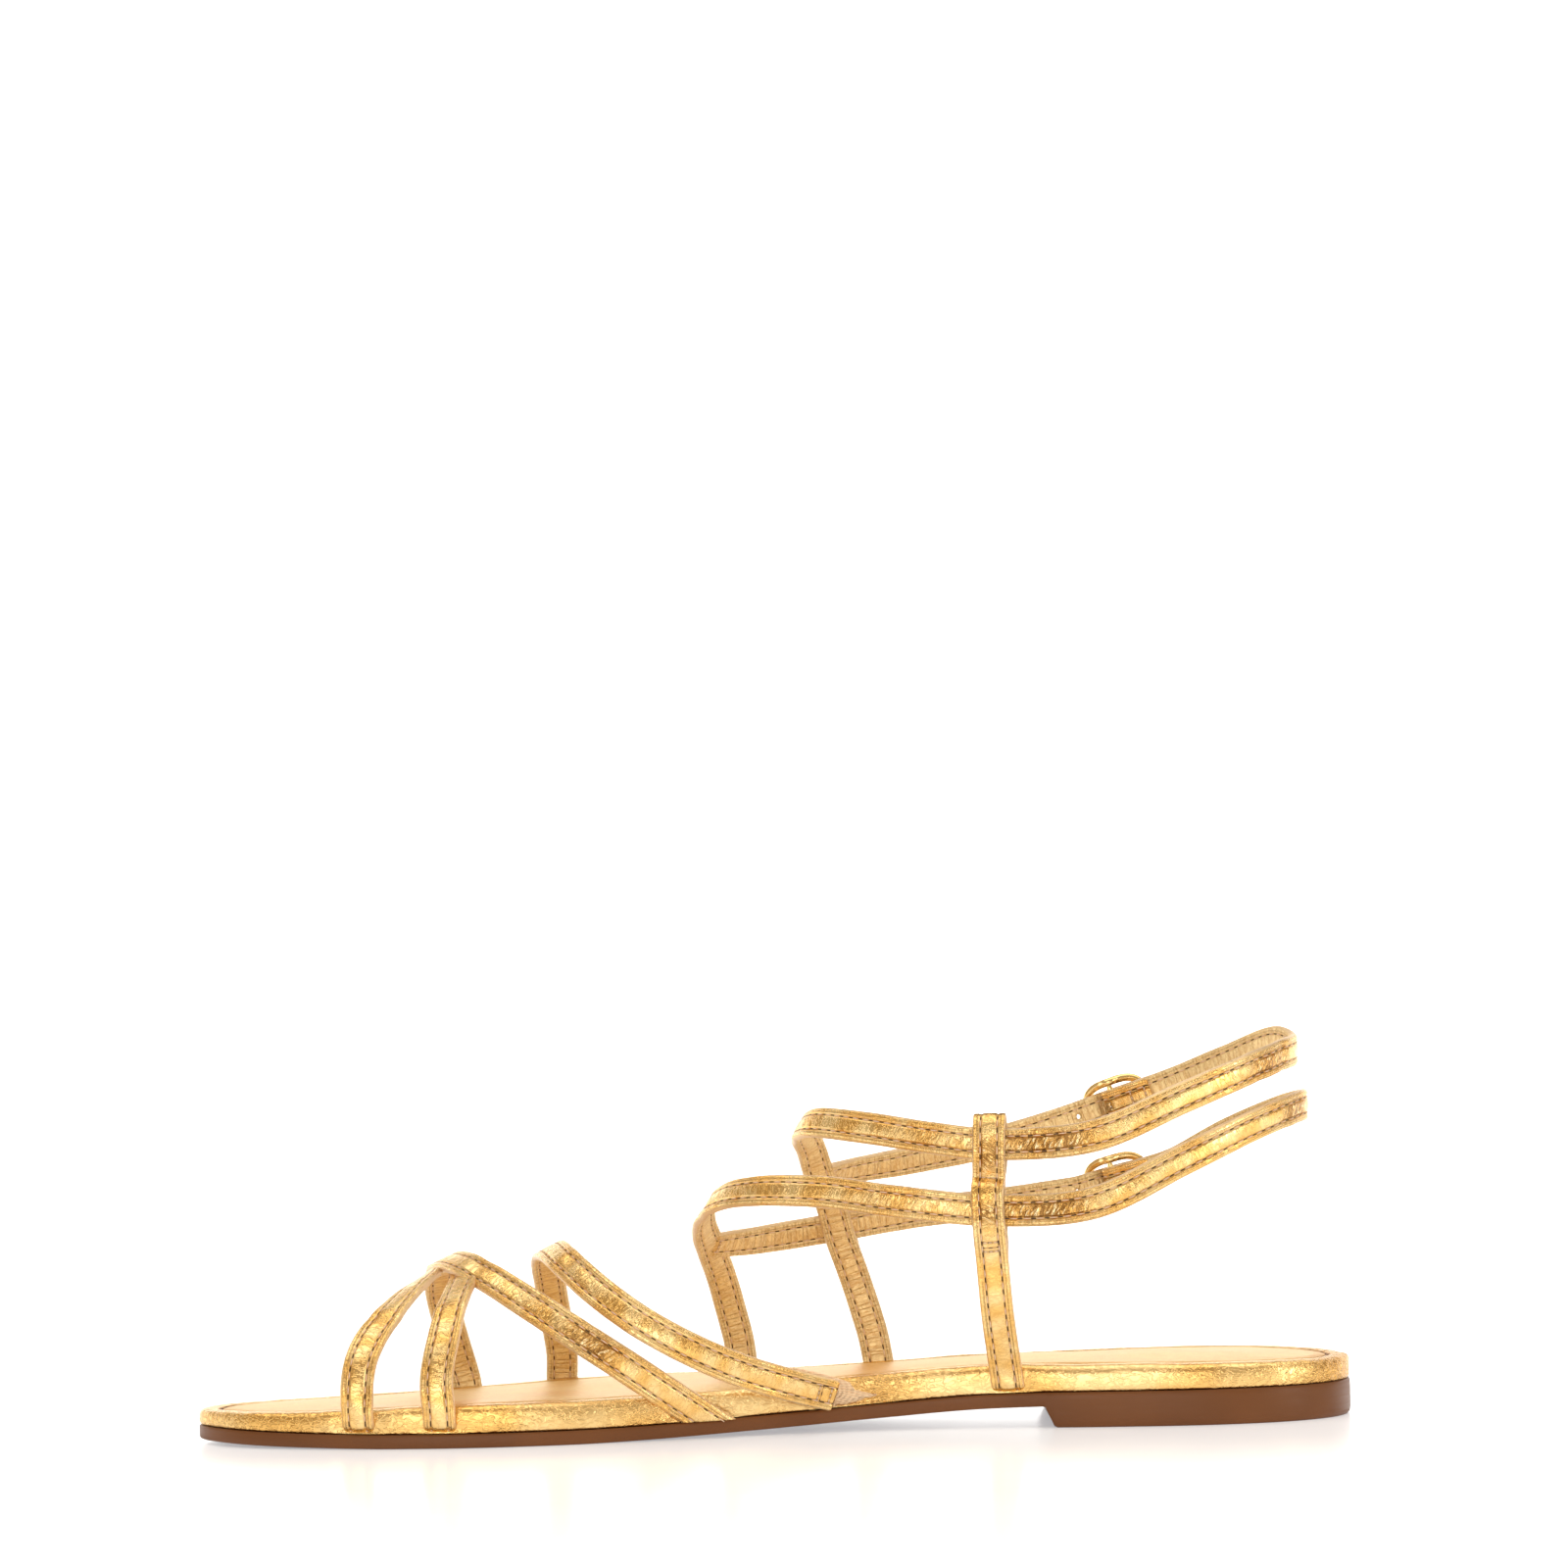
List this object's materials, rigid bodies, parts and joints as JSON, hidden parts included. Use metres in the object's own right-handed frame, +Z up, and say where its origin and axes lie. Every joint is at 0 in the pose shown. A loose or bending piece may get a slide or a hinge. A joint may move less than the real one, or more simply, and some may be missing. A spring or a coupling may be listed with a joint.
{
  "type": "gladiator sandal",
  "caption": "Flat strappy leather sandal for a right foot: toe straps, instep strap on an elastic, buckled ankle straps, padded insole and low-heeled moulded sole.",
  "frame": {"origin": "on the ground under the middle of the shoe's bounding box", "axes": "+X points to the toe, +Y to the inner (medial) side of the foot, +Z up"},
  "size_m": [0.25, 0.0812, 0.084],
  "materials": {
    "sole_unit": "smooth satin brown",
    "foil_leather": "metallic gold foil with fine wrinkles",
    "sock_leather": "metallic gold foil, smooth",
    "elastic": "matt woven elastic",
    "buckle_metal": "polished gold plating"
  },
  "bodies": {
    "root": {"outsole": "sole_unit", "insole": "foil_leather", "sock_lining": "sock_leather", "toe_straps": "foil_leather", "instep_strap": "foil_leather", "elastic_gusset": "elastic", "ankle_strap_lower": "foil_leather", "ankle_strap_upper": "foil_leather", "keeper_strap": "foil_leather", "buckle_lower": "buckle_metal", "buckle_upper": "buckle_metal", "prong_lower": "buckle_metal", "prong_upper": "buckle_metal"}
  },
  "joints": []
}
